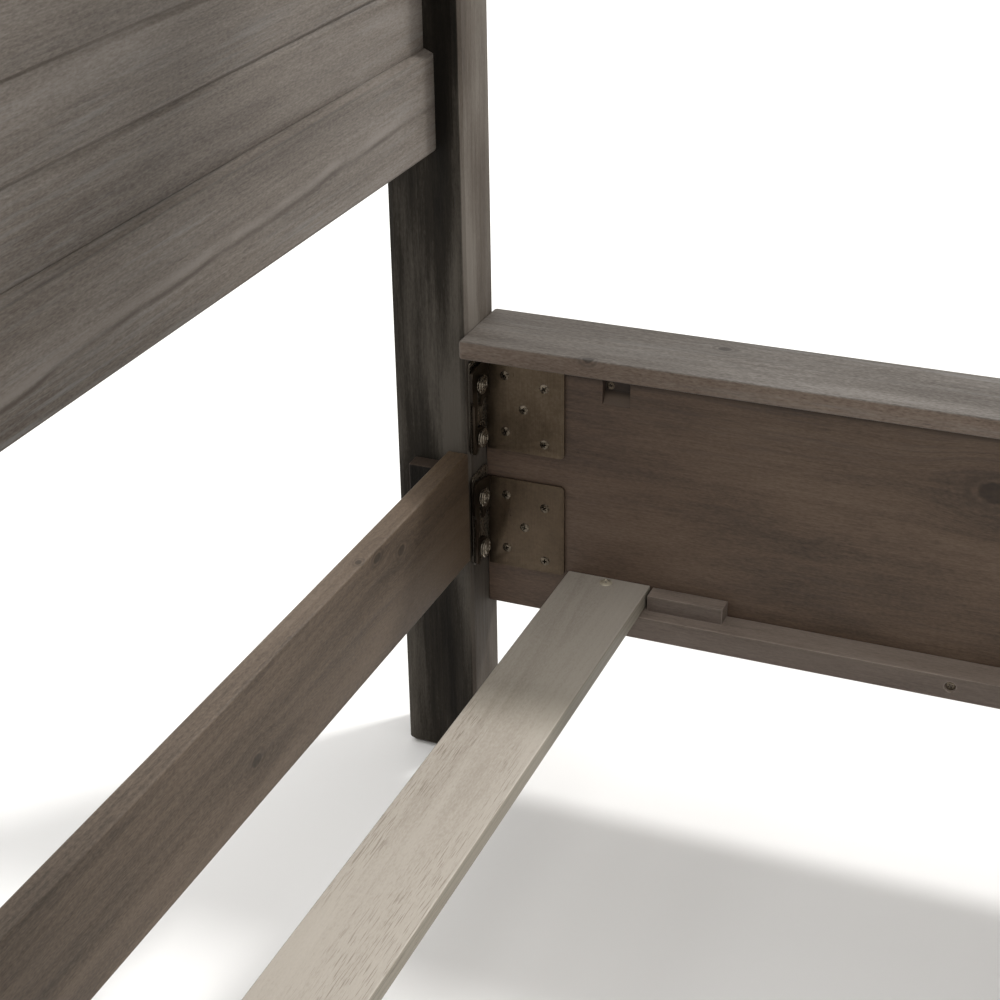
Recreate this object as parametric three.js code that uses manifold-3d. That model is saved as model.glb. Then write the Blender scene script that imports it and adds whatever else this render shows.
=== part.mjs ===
// Twin bunk bed with a hook-on ladder, in millimetres.
// +X runs from the head to the foot, +Y to the wall side, +Z up.
// The origin is on the floor, under the middle of the bed and its ladder together.
import * as THREE from 'three';
import { mergeVertices } from 'three/addons/utils/BufferGeometryUtils.js';
import Module from 'manifold-3d';

const wasm = await Module();
wasm.setup();

// Driving dimensions
const LENGTH = 2066;
const WIDTH = 1130;
const HEIGHT = 1640;
const GAP = 0.3;
const POST = { x: 68, y: 63, ease: 4, foot: 5 };
const END_RAIL = { thick: 25, tenon: 12, shoulder: 8, tenonThick: 15, bevel: 3.5 };
const PANEL = { thick: 13, setBack: 8, tongue: 8, firstPlank: 53, plank: 55, vee: 3 };
const LOWER_END = { bottom: 573, railHigh: 82, top: 950, topHigh: 85 };
const UPPER_END = { bottom: 1226, top: 1590, topHigh: 85 };
const STRETCHER = { thick: 19, bottom: 206, top: 310 };
const CLEAT = { x: 30, out: 16, bottom: 205, top: 300 };
const RAIL = { thick: 24.5, bottom: 145.4, top: 404 };
const POCKET = { inset: 119, wide: 24, bottom: 357, rampTop: 367, top: 398, deep: 9, count: 4 };
const CAP = { wide: 80, thick: 16, corner: 3, ease: 1.2 };
const LEDGER = { deep: 30.5, bottom: 154.2, top: 176, inset: 77 };
const SLAT = { wide: 76, thick: 15, inset: 115, count: 4 };
const STOP = { long: 67, deep: 17, high: 14.6, clear: 2.7 };
const UPPER_RAIL = { bottom: 1210, top: 1440, ledgeBottom: 1228, ledgeTop: 1250 };
const BOLT_HOLE = { radius: 8, deep: 9, heights: [1270, 1380] };
const LEDGER_HOLE = { radius: 5, deep: 3, height: 166.5, inset: 420, count: 4 };
const GUARD = { thick: 22, bottom: 1500, top: 1590, end: 530, uprightWide: 70, uprightBottom: 1290 };
const LADDER = { left: 570, right: 920, stile: 24, deep: 60, top: 1500, hook: 22, lip: 1395, housing: 8 };
const RUNG = { deep: 52, thick: 22, pitch: 280, count: 4 };
const BRACKETS = [
  { name: 'low', legBottom: 186.6, studBottom: 199 },
  { name: 'high', legBottom: 300.3, studBottom: 306 },
];
const HOOK = { legLong: 71, legHigh: 86.8, thick: 2.5, reach: 38.7, corner: 4 };
const SCREWS = [[17, 18.2], [17, 70.6], [53, 11.4], [53, 63.6], [34, 41.2]];
const SCREW_HOLE = 4.4;
const STUD_PLATE = { thick: 2, wide: 34, high: 87, inset: 2, corner: 6 };
const STUD = { neck: 4, head: 8.5, inset: 14.5, low: 14, high: 64, proud: 9.8 };

// Places that follow from them
const postFaceX = LENGTH / 2 - POST.x;
const postFaceY = WIDTH / 2 - POST.y;
const railFaceY = WIDTH / 2 - RAIL.thick;
const railLength = 2 * postFaceX - 1;
const endLength = 2 * postFaceY;

const WEATHERED = { color: 0x6b635b, roughness: 0.72 };
const DARK_WEATHERED = { color: 0x4a4540, roughness: 0.7 };
const BROWN_WOOD = { color: 0x5e4e43, roughness: 0.65 };
const BARE_WOOD = { color: 0xa89e90, roughness: 0.7 };
const BRONZE = { color: 0x4a4035, roughness: 0.42, metalness: 0.9 };

const bed = new THREE.Group();

function addMesh(name, geometry, look) {
  const mesh = new THREE.Mesh(geometry, new THREE.MeshStandardMaterial({ metalness: 0, ...look }));
  mesh.name = name;
  bed.add(mesh);
  return mesh;
}

// Solids for joining and cutting
function toSolid(geometry) {
  const bare = geometry.clone();
  bare.deleteAttribute('normal');
  bare.deleteAttribute('uv');
  const merged = mergeVertices(bare, 1e-4);
  const vertProperties = new Float32Array(merged.attributes.position.array);
  const triVerts = new Uint32Array(merged.index.array);
  return new wasm.Manifold(new wasm.Mesh({ numProp: 3, vertProperties, triVerts }));
}

function toGeometry(solid) {
  const mesh = solid.getMesh();
  const geometry = new THREE.BufferGeometry();
  geometry.setAttribute('position', new THREE.BufferAttribute(new Float32Array(mesh.vertProperties), 3));
  geometry.setIndex(new THREE.BufferAttribute(new Uint32Array(mesh.triVerts), 1));
  geometry.computeVertexNormals();
  return geometry;
}

function block(x0, x1, y0, y1, z0, z1) {
  const geometry = new THREE.BoxGeometry(x1 - x0, y1 - y0, z1 - z0);
  geometry.translate((x0 + x1) / 2, (y0 + y1) / 2, (z0 + z1) / 2);
  return geometry;
}

// An outline from corner points [u, v, radius]; a corner with a radius is rounded.
function outline(corners) {
  const shape = new THREE.Shape();
  corners.forEach(([u, v, radius = 0], i) => {
    const here = new THREE.Vector2(u, v);
    const before = new THREE.Vector2(...corners.at(i - 1).slice(0, 2)).sub(here).normalize();
    const after = new THREE.Vector2(...corners[(i + 1) % corners.length].slice(0, 2)).sub(here).normalize();
    const halfAngle = Math.acos(before.dot(after)) / 2;
    const start = here.clone().addScaledVector(before, radius / Math.tan(halfAngle));
    if (i === 0) shape.moveTo(start.x, start.y);
    else shape.lineTo(start.x, start.y);
    if (radius > 0) {
      const middle = before.clone().add(after).setLength(radius / Math.sin(halfAngle)).add(here);
      const end = here.clone().addScaledVector(after, radius / Math.tan(halfAngle));
      const clockwise = before.cross(after) > 0;
      const from = start.sub(middle).angle();
      const to = end.sub(middle).angle();
      shape.absarc(middle.x, middle.y, radius, from, to, clockwise);
    }
  });
  shape.closePath();
  return shape;
}

function rectangle(u0, u1, v0, v1, radius) {
  return outline([[u0, v0, radius], [u1, v0, radius], [u1, v1, radius], [u0, v1, radius]]);
}

// The frames in which an outline (u, v) is drawn before it is extruded, centred, along an axis.
const FRAMES = {
  X: [new THREE.Vector3(0, 1, 0), new THREE.Vector3(0, 0, 1), new THREE.Vector3(1, 0, 0)],
  Y: [new THREE.Vector3(1, 0, 0), new THREE.Vector3(0, 0, 1), new THREE.Vector3(0, -1, 0)],
  Z: [new THREE.Vector3(1, 0, 0), new THREE.Vector3(0, 1, 0), new THREE.Vector3(0, 0, 1)],
};

function prism(shape, length, axis, ease = 0, curveSegments = 1) {
  const geometry = new THREE.ExtrudeGeometry(shape, {
    depth: length - 2 * ease,
    bevelEnabled: ease > 0,
    bevelThickness: ease,
    bevelSize: ease,
    bevelOffset: -ease,
    bevelSegments: 1,
    curveSegments,
  });
  geometry.translate(0, 0, ease - length / 2);
  geometry.applyMatrix4(new THREE.Matrix4().makeBasis(...FRAMES[axis]));
  return geometry;
}

// A round hole of the given depth, cut along an axis; `face` is where it opens, `into` its direction.
function boreCutter(radius, deep, axis, face, into, across, z) {
  const shape = new THREE.Shape().absarc(0, 0, radius, 0, 2 * Math.PI, false);
  const cutter = prism(shape, deep + 1, axis, 0, 6);
  const middle = face + into * (deep - 1) / 2;
  cutter.translate(...(axis === 'X' ? [middle, across, z] : [across, middle, z]));
  return toSolid(cutter);
}

// The two ends of the bed, its two sides and its four corners
const ENDS = [{ name: 'head', x: -1 }, { name: 'foot', x: 1 }];
const SIDES = [{ name: 'wall', y: 1 }, { name: 'front', y: -1 }];
const CORNERS = ENDS.flatMap((end) => SIDES.map((side) => ({
  name: `${end.name}_${side.name}`,
  x: end.x,
  y: side.y,
})));

function mirrored(sign, a, b) {
  return [Math.min(sign * a, sign * b), Math.max(sign * a, sign * b)];
}

// End frames: rails tenoned into the posts, and planked panels between the rails
const railCentreX = LENGTH / 2 - POST.x / 2;
const END_RAILS = [
  { name: 'bottom_rail', level: 'lower', z0: LOWER_END.bottom, z1: LOWER_END.bottom + LOWER_END.railHigh },
  { name: 'top_rail', level: 'lower', z0: LOWER_END.top - LOWER_END.topHigh, z1: LOWER_END.top },
  { name: 'top_rail', level: 'upper', z0: UPPER_END.top - UPPER_END.topHigh, z1: UPPER_END.top },
];

// Profile across an end rail. u grows towards the middle of the bed; the groove holds the panel.
function endRailProfile(z0, z1, grooveOnTop) {
  const half = END_RAIL.thick / 2;
  const panelOuter = half - PANEL.setBack - PANEL.thick - GAP;
  const panelInner = half - PANEL.setBack + GAP;
  const depth = PANEL.tongue + GAP;
  const grooveEdge = [
    [half, END_RAIL.bevel],
    [half - PANEL.setBack + 2 * GAP, 0],
    [panelInner, 0],
    [panelInner, depth],
    [panelOuter, depth],
    [panelOuter, 0],
    [-half, 0],
  ];
  const place = ([u, inset]) => (grooveOnTop ? [u, z1 - inset] : [u, z0 + inset]);
  const plainZ = grooveOnTop ? z0 : z1;
  const corners = [...grooveEdge.map(place), [-half, plainZ, 3], [half, plainZ, 3]];
  return grooveOnTop ? corners : corners.reverse();
}

function endRail(rail, end) {
  const corners = endRailProfile(rail.z0, rail.z1, rail.name === 'bottom_rail');
  const placed = corners.map(([u, v, r]) => [end.x * (railCentreX - u), v, r]);
  const shape = outline(end.x > 0 ? placed : placed.reverse());
  let solid = toSolid(prism(shape, endLength - 2 * GAP, 'Y'));
  const halfTenon = END_RAIL.tenonThick / 2;
  const [x0, x1] = mirrored(end.x, railCentreX - halfTenon, railCentreX + halfTenon);
  const reach = postFaceY + END_RAIL.tenon;
  const z0 = rail.z0 + END_RAIL.shoulder + (rail.name === 'top_rail' ? PANEL.tongue : 0);
  const z1 = rail.z1 - END_RAIL.shoulder - (rail.name === 'bottom_rail' ? PANEL.tongue : 0);
  for (const side of SIDES) {
    const [y0, y1] = mirrored(side.y, postFaceY - 20, reach);
    solid = solid.add(toSolid(block(x0, x1, y0, y1, z0, z1)));
  }
  return { geometry: toGeometry(solid), mortise: { x0, x1, z0, z1 } };
}

// A planked panel with a vee cut along each plank joint, on both faces
function panelGeometry(end, z0, z1, thick) {
  const inner = railCentreX - END_RAIL.thick / 2 + PANEL.setBack;
  const outer = inner + thick;
  const seams = [];
  const lowest = z0 + PANEL.tongue + PANEL.firstPlank;
  for (let z = lowest; z < z1 - 2 * PANEL.tongue; z += PANEL.plank) seams.push(z);
  const vee = (x, depth) => (z) => [[x, z - PANEL.vee], [x + depth, z], [x, z + PANEL.vee]];
  const corners = [
    [inner, z0],
    ...seams.flatMap(vee(inner, PANEL.vee)),
    [inner, z1],
    [outer, z1],
    ...seams.toReversed().flatMap((z) => vee(outer, -PANEL.vee)(z).reverse()),
    [outer, z0],
  ];
  const placed = corners.map(([x, z]) => [end.x * x, z]);
  return prism(outline(end.x > 0 ? placed.reverse() : placed), endLength - 2 * GAP, 'Y');
}

const mortises = { head: [], foot: [] };
for (const end of ENDS) {
  for (const rail of END_RAILS) {
    const { geometry, mortise } = endRail(rail, end);
    mortises[end.name].push(mortise);
    addMesh(`${rail.level}_${end.name}_${rail.name}`, geometry, WEATHERED);
  }
  const lowerFrom = LOWER_END.bottom + LOWER_END.railHigh - PANEL.tongue;
  const lowerTo = LOWER_END.top - LOWER_END.topHigh + PANEL.tongue;
  addMesh(`lower_${end.name}_panel`, panelGeometry(end, lowerFrom, lowerTo, PANEL.thick), WEATHERED);
  const upperTo = UPPER_END.top - UPPER_END.topHigh + PANEL.tongue;
  addMesh(`upper_${end.name}_panel`, panelGeometry(end, UPPER_END.bottom, upperTo, PANEL.thick), WEATHERED);
}

// Posts, with the mortises for the end rails and the sunk holes for the upper rails' bolts
function postGeometry(corner) {
  const [x0, x1] = mirrored(corner.x, postFaceX, LENGTH / 2);
  const [y0, y1] = mirrored(corner.y, postFaceY, WIDTH / 2);
  const bar = prism(rectangle(x0, x1, y0, y1, POST.foot + 1), HEIGHT, 'Z', POST.foot);
  bar.translate(0, 0, HEIGHT / 2);
  let solid = toSolid(bar);
  for (const hole of mortises[corner.x < 0 ? 'head' : 'foot']) {
    const [h0, h1] = mirrored(corner.y, postFaceY - 5, postFaceY + END_RAIL.tenon + GAP);
    solid = solid.subtract(toSolid(block(
      hole.x0 - GAP, hole.x1 + GAP, h0, h1, hole.z0 - GAP, hole.z1 + GAP,
    )));
  }
  const boltY = corner.y * (railFaceY + RAIL.thick / 2);
  for (const z of BOLT_HOLE.heights) {
    const { radius, deep } = BOLT_HOLE;
    solid = solid.subtract(boreCutter(radius, deep, 'X', corner.x * LENGTH / 2, -corner.x, boltY, z));
  }
  return toGeometry(solid);
}

for (const corner of CORNERS) addMesh(`post_${corner.name}`, postGeometry(corner), DARK_WEATHERED);

// Low stretchers across the ends, each on a cleat at both posts
for (const end of ENDS) {
  const [x0, x1] = mirrored(end.x, postFaceX, postFaceX + STRETCHER.thick);
  const shape = rectangle(x0, x1, STRETCHER.bottom, STRETCHER.top, 1.5);
  addMesh(`${end.name}_stretcher`, prism(shape, endLength - 2 * GAP, 'Y'), WEATHERED);
}
for (const corner of CORNERS) {
  const inner = postFaceX + STRETCHER.thick + GAP;
  const [x0, x1] = mirrored(corner.x, inner, inner + CLEAT.x);
  const [y0, y1] = mirrored(corner.y, postFaceY - GAP - CLEAT.out, postFaceY - GAP);
  const geometry = prism(rectangle(x0, x1, y0, y1, 2), CLEAT.top - CLEAT.bottom, 'Z', 1);
  geometry.translate(0, 0, (CLEAT.top + CLEAT.bottom) / 2);
  addMesh(`stretcher_cleat_${corner.name}`, geometry, BROWN_WOOD);
}

// Steel stud plates on the posts: each has two headed studs that a hook plate drops over.
const studPlateX = postFaceX - GAP;
const flangeX = studPlateX - STUD_PLATE.thick - 0.4;

function studProfile() {
  const face = STUD_PLATE.thick;
  const flangeTop = face + 0.4 + HOOK.thick + GAP;
  return [
    [0, 0.5],
    [STUD.neck, 0.5],
    [STUD.neck, flangeTop],
    [STUD.head - 2, flangeTop + 0.2],
    [STUD.head - 2, flangeTop + 1.3],
    [STUD.head - 3.4, flangeTop + 1.6],
    [STUD.head - 3.4, flangeTop + 2.2],
    [STUD.head, flangeTop + 2.6],
    [STUD.head, flangeTop + 3.8],
    [STUD.head * 0.75, flangeTop + 5.4],
    [0, face + STUD.proud + 1.2],
  ].map(([r, h]) => new THREE.Vector2(r, h));
}

// Drawn for a corner at the foot on the wall side, then mirrored to the others
function mirrorTo(geometry, corner) {
  const matrix = new THREE.Matrix4().makeScale(corner.x, corner.y, 1);
  geometry.applyMatrix4(matrix);
  if (corner.x * corner.y < 0) {
    const index = geometry.index.array;
    for (let i = 0; i < index.length; i += 3) [index[i], index[i + 1]] = [index[i + 1], index[i]];
  }
  geometry.computeVertexNormals();
  return geometry;
}

function studPlateGeometry(bracket) {
  const y0 = postFaceY + STUD_PLATE.inset;
  const shape = rectangle(y0, y0 + STUD_PLATE.wide, 0, STUD_PLATE.high, STUD_PLATE.corner);
  const plate = prism(shape, STUD_PLATE.thick, 'X');
  plate.translate(studPlateX - STUD_PLATE.thick / 2, 0, bracket.studBottom);
  let solid = toSolid(plate);
  for (const height of [STUD.low, STUD.high]) {
    const stud = new THREE.LatheGeometry(studProfile(), 12);
    stud.rotateZ(Math.PI / 2);
    stud.translate(studPlateX, postFaceY + STUD.inset, bracket.studBottom + height);
    solid = solid.add(toSolid(stud));
  }
  return toGeometry(solid);
}

// The hook plate: a screwed leg on the rail, and a flange with two hooks open at the bottom.
// v is measured from the rail's face towards the middle of the bed, z from the stud plate's foot.
function hookOutline(legTop) {
  const centre = railFaceY - (postFaceY + STUD.inset);
  const slot = STUD.neck + 0.5;
  const strip = HOOK.reach - 4;
  return [
    [GAP, legTop],
    [GAP, 44],
    [8, 46],
    [centre - 9.4, 45.7],
    [centre - slot, 40.8],
    [centre - slot, STUD.high + slot, slot],
    [centre + slot, STUD.high + slot, slot],
    [centre + slot, 34],
    [strip - 4.5, 30, 2],
    [strip - 4.5, 24],
    [centre - 6, 23, 3],
    [centre - 8.5, 19, 2],
    [centre - 8.5, 9, 1],
    [centre - slot, 9],
    [centre - slot, STUD.low + slot, slot],
    [centre + slot, STUD.low + slot, slot],
    [centre + slot, 1, 1],
    [strip, 1, 2],
    [strip, 46, 3],
    [HOOK.reach, 52, 3],
    [HOOK.reach, 79, 9],
    [28, 81, 4],
  ];
}

function hookPlateGeometry(bracket) {
  const legTop = bracket.legBottom + HOOK.legHigh - bracket.studBottom;
  const points = hookOutline(legTop).map(([v, z, r]) => [railFaceY - v, z + bracket.studBottom, r]);
  const flange = prism(outline(points.reverse()), HOOK.thick, 'X');
  flange.translate(flangeX - HOOK.thick / 2, 0, 0);
  const legShape = outline([
    [0, 0, 1],
    [HOOK.legLong, 0, HOOK.corner],
    [HOOK.legLong, HOOK.legHigh, HOOK.corner],
    [0, HOOK.legHigh, 1],
  ]);
  for (const [u, v] of SCREWS) {
    const hole = new THREE.Path();
    hole.absarc(u, v, SCREW_HOLE, 0, 2 * Math.PI, true);
    legShape.holes.push(hole);
  }
  const leg = prism(legShape, HOOK.thick, 'Y', 0, 4);
  leg.scale(-1, -1, 1);
  leg.translate(flangeX, railFaceY - GAP - HOOK.thick / 2, bracket.legBottom);
  return toGeometry(toSolid(flange).add(toSolid(leg)));
}

for (const corner of CORNERS) {
  for (const bracket of BRACKETS) {
    const plate = mirrorTo(studPlateGeometry(bracket), corner);
    addMesh(`stud_plate_${corner.name}_${bracket.name}`, plate, BRONZE);
    const hook = mirrorTo(hookPlateGeometry(bracket), corner);
    addMesh(`hook_plate_${corner.name}_${bracket.name}`, hook, BRONZE);
  }
}

// Lower side rails, with screw pockets under the cap
const pocketPitch = (2 * postFaceX - 2 * POCKET.inset) / (POCKET.count - 1);

function pocketCutter(x, side) {
  const out = railFaceY - 1;
  const deep = railFaceY + POCKET.deep;
  const corners = [
    [out, POCKET.bottom - 1],
    [railFaceY, POCKET.bottom],
    [deep, POCKET.rampTop],
    [deep, POCKET.top],
    [out, POCKET.top],
  ];
  const placed = corners.map(([y, z]) => [side.y * y, z]);
  const cutter = prism(outline(side.y > 0 ? placed : placed.reverse()), POCKET.wide, 'X');
  cutter.translate(x, 0, 0);
  return toSolid(cutter);
}

for (const side of SIDES) {
  const [y0, y1] = mirrored(side.y, railFaceY, WIDTH / 2);
  let rail = toSolid(prism(rectangle(y0, y1, RAIL.bottom, RAIL.top - GAP, 2), railLength, 'X'));
  for (let i = 0; i < POCKET.count; i += 1) {
    rail = rail.subtract(pocketCutter(POCKET.inset - postFaceX + i * pocketPitch, side));
  }
  addMesh(`lower_side_rail_${side.name}`, toGeometry(rail), BROWN_WOOD);

  const [c0, c1] = mirrored(side.y, WIDTH / 2 - CAP.wide, WIDTH / 2);
  const capShape = rectangle(-railLength / 2, railLength / 2, c0, c1, CAP.corner);
  const cap = prism(capShape, CAP.thick, 'Z', CAP.ease, 2);
  cap.translate(0, 0, RAIL.top + CAP.thick / 2);
  addMesh(`lower_rail_cap_${side.name}`, cap, WEATHERED);
}

// Slat centres, counted from the head
const slatPitch = (2 * postFaceX - 2 * SLAT.inset) / (SLAT.count - 1);
const slatCentres = Array.from({ length: SLAT.count }, (_, i) => SLAT.inset - postFaceX + i * slatPitch);

// Ledgers along the foot of the lower rails, with a stop block beside each slat and sunk screw holes
const ledgerHolePitch = (2 * postFaceX - 2 * LEDGER_HOLE.inset) / (LEDGER_HOLE.count - 1);
for (const side of SIDES) {
  const [y0, y1] = mirrored(side.y, railFaceY - LEDGER.deep, railFaceY - GAP);
  const long = 2 * (postFaceX - LEDGER.inset);
  let ledger = toSolid(prism(rectangle(y0, y1, LEDGER.bottom, LEDGER.top, 1.5), long, 'X'));
  const [s0, s1] = mirrored(side.y, railFaceY - STOP.deep, railFaceY - GAP);
  for (const x of slatCentres) {
    const inward = -Math.sign(x);
    const near = x + inward * (SLAT.wide / 2 + STOP.clear);
    const far = near + inward * STOP.long;
    const stop = prism(rectangle(s0, s1, LEDGER.top - 2, LEDGER.top + STOP.high, 1), STOP.long, 'X');
    stop.translate((near + far) / 2, 0, 0);
    ledger = ledger.add(toSolid(stop));
  }
  const front = side.y * (railFaceY - LEDGER.deep);
  for (let i = 0; i < LEDGER_HOLE.count; i += 1) {
    const { radius, deep, height } = LEDGER_HOLE;
    const x = LEDGER_HOLE.inset - postFaceX + i * ledgerHolePitch;
    ledger = ledger.subtract(boreCutter(radius, deep, 'Y', front, side.y, x, height));
  }
  addMesh(`lower_slat_ledger_${side.name}`, toGeometry(ledger), BROWN_WOOD);
}

function slatGeometry(x, z) {
  const shape = rectangle(x - SLAT.wide / 2, x + SLAT.wide / 2, z + GAP, z + GAP + SLAT.thick, 1.2);
  return prism(shape, 2 * railFaceY - 2 * GAP, 'Y');
}

slatCentres.forEach((x, i) => {
  addMesh(`lower_slat_${i + 1}`, slatGeometry(x, LEDGER.top), BARE_WOOD);
  addMesh(`upper_slat_${i + 1}`, slatGeometry(x, UPPER_RAIL.ledgeTop), BARE_WOOD);
});

// Upper side rails, bolted to the posts, each with a glued-on ledge for the slats
for (const side of SIDES) {
  const corners = [
    [WIDTH / 2, UPPER_RAIL.bottom, 2],
    [WIDTH / 2, UPPER_RAIL.top, 2],
    [railFaceY, UPPER_RAIL.top, 2],
    [railFaceY, UPPER_RAIL.ledgeTop],
    [railFaceY - LEDGER.deep, UPPER_RAIL.ledgeTop, 1.5],
    [railFaceY - LEDGER.deep, UPPER_RAIL.ledgeBottom, 1.5],
    [railFaceY, UPPER_RAIL.ledgeBottom],
    [railFaceY, UPPER_RAIL.bottom, 2],
  ].map(([y, z, r]) => [side.y * y, z, r]);
  const shape = outline(side.y > 0 ? corners : corners.reverse());
  addMesh(`upper_side_rail_${side.name}`, prism(shape, railLength, 'X'), WEATHERED);
}

// Guard rails: the wall side runs from post to post, the front leaves the ladder opening.
const guardWall = prism(
  rectangle(railFaceY, railFaceY + GUARD.thick, GUARD.bottom, GUARD.top, 4), railLength, 'X',
);
addMesh('guard_rail_wall', guardWall, WEATHERED);

const guardLong = GUARD.end + railLength / 2;
const frontBoard = prism(
  rectangle(-railFaceY - GUARD.thick, -railFaceY, GUARD.bottom, GUARD.top, 4), guardLong, 'X', 3,
);
frontBoard.translate((GUARD.end - railLength / 2) / 2, 0, 0);
const upright = prism(
  rectangle(
    GUARD.end - GUARD.uprightWide, GUARD.end,
    GAP - railFaceY, GAP - railFaceY + GUARD.thick, 4,
  ),
  GUARD.top - GUARD.uprightBottom, 'Z', 3,
);
upright.translate(0, 0, (GUARD.top + GUARD.uprightBottom) / 2);
const lap = block(
  GUARD.end - GUARD.uprightWide + 5, GUARD.end - 5,
  -railFaceY - 2, 2 - railFaceY, GUARD.bottom + 5, GUARD.top - 5,
);
addMesh(
  'guard_rail_front',
  toGeometry(toSolid(frontBoard).add(toSolid(upright)).add(toSolid(lap))),
  WEATHERED,
);

// Ladder: two stiles that hook over the upper front rail, and housed treads
const ladderBack = -WIDTH / 2 - GAP;
const ladderFront = ladderBack - LADDER.deep;
const treadFront = (ladderBack + ladderFront - RUNG.deep) / 2;

function treadBlock(x0, x1, i, grow) {
  const top = RUNG.pitch * (i + 1);
  return block(
    x0, x1, treadFront - grow, treadFront + RUNG.deep + grow, top - RUNG.thick - grow, top + grow,
  );
}

const stileOutline = [
  [ladderFront, 0, 4],
  [ladderBack, 0, 4],
  [ladderBack, UPPER_RAIL.top + GAP, 1],
  [-railFaceY + GAP, UPPER_RAIL.top + GAP, 1],
  [-railFaceY + GAP, LADDER.lip, 3],
  [-railFaceY + GAP + LADDER.hook, LADDER.lip, 8],
  [-railFaceY + GAP + LADDER.hook, LADDER.top, 20],
  [ladderFront, LADDER.top, 25],
];
const stiles = [
  { name: 'left', x: LADDER.left, inner: 1 },
  { name: 'right', x: LADDER.right - LADDER.stile, inner: -1 },
];
for (const stile of stiles) {
  const bar = prism(outline(stileOutline), LADDER.stile, 'X', 1, 2);
  bar.translate(stile.x + LADDER.stile / 2, 0, 0);
  let solid = toSolid(bar);
  const face = stile.inner > 0 ? stile.x + LADDER.stile : stile.x;
  const [h0, h1] = [face - LADDER.housing - GAP, face + LADDER.housing + GAP];
  for (let i = 0; i < RUNG.count; i += 1) solid = solid.subtract(toSolid(treadBlock(h0, h1, i, GAP)));
  addMesh(`ladder_stile_${stile.name}`, toGeometry(solid), WEATHERED);
}
const treadX0 = LADDER.left + LADDER.stile - LADDER.housing;
const treadX1 = LADDER.right - LADDER.stile + LADDER.housing;
for (let i = 0; i < RUNG.count; i += 1) {
  const top = RUNG.pitch * (i + 1);
  const shape = rectangle(treadFront, treadFront + RUNG.deep, top - RUNG.thick, top, 3);
  const tread = prism(shape, treadX1 - treadX0, 'X');
  tread.translate((treadX0 + treadX1) / 2, 0, 0);
  addMesh(`ladder_tread_${i + 1}`, tread, WEATHERED);
}

// The pieces are drawn about the bed's own middle; the ladder stands in front of it.
bed.position.y = (LADDER.deep + GAP) / 2;

export default bed;
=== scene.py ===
import math

import bmesh
import bpy
from mathutils import Matrix, Vector


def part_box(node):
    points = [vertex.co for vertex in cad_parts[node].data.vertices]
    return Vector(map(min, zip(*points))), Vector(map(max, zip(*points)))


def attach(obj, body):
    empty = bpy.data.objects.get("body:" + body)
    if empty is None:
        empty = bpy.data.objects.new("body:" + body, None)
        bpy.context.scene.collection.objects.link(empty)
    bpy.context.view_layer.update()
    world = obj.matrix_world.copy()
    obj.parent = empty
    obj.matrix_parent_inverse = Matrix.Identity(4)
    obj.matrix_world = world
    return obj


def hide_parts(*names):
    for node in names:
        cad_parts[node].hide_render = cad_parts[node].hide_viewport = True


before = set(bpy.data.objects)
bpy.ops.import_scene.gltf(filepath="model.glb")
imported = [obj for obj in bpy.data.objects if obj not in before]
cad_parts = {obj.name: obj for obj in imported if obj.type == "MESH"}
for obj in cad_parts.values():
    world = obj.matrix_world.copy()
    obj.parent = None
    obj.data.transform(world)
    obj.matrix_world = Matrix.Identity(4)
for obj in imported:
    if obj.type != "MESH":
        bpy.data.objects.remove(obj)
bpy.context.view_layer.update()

ENDS = ("head", "foot")
SIDES = ("wall", "front")
CORNERS = [(end, side) for end in ENDS for side in SIDES]
LEVELS = ("low", "high")
DECKS = (("lower", "lower_deck"), ("upper", "bed_frame"))
SLATS_PER_DECK = 4
TREADS = 4
MM = 0.001


def signs(end, side):
    """The ways outward from the bed's middle, along X to an end and along Y to a side."""
    return (1 if end == "foot" else -1), (1 if side == "wall" else -1)


def face(box, axis, sign):
    """The coordinate of the face of a box that looks along an axis, or against it for a negative sign."""
    low, high = box
    return getattr(high if sign > 0 else low, axis)


# ---------------------------------------------------------------- camera
# It looks into the lower corner at the head end on the wall side, from inside the bed.
post_low, post_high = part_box("post_head_wall")
corner = Vector((post_high.x, post_low.y, 0.0))
CAMERA_AIM = Vector((0.0244, 0.0100, 0.2653))
CAMERA_DISTANCE = 1.6872
CAMERA_AZIMUTH = 22.67
CAMERA_ELEVATION = 27.23
CAMERA_ROLL = 0.913
CAMERA_LENS = 70.456


def make_camera():
    azimuth = math.radians(CAMERA_AZIMUTH)
    elevation = math.radians(CAMERA_ELEVATION)
    roll = math.radians(CAMERA_ROLL)
    back = Vector((
        math.sin(azimuth) * math.cos(elevation),
        -math.cos(azimuth) * math.cos(elevation),
        math.sin(elevation),
    ))
    level_right = (-back).cross(Vector((0, 0, 1))).normalized()
    level_up = back.cross(level_right)
    right = math.cos(roll) * level_right - math.sin(roll) * level_up
    up = math.sin(roll) * level_right + math.cos(roll) * level_up
    data = bpy.data.cameras.new("camera")
    data.lens = CAMERA_LENS
    data.sensor_width = 36.0
    data.clip_start = 0.05
    data.clip_end = 200.0
    camera = bpy.data.objects.new("camera", data)
    bpy.context.scene.collection.objects.link(camera)
    place = corner + CAMERA_AIM + back * CAMERA_DISTANCE
    axes = Matrix((right, up, back)).transposed().to_4x4()
    camera.matrix_world = Matrix.Translation(place) @ axes
    bpy.context.scene.camera = camera


make_camera()


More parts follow.
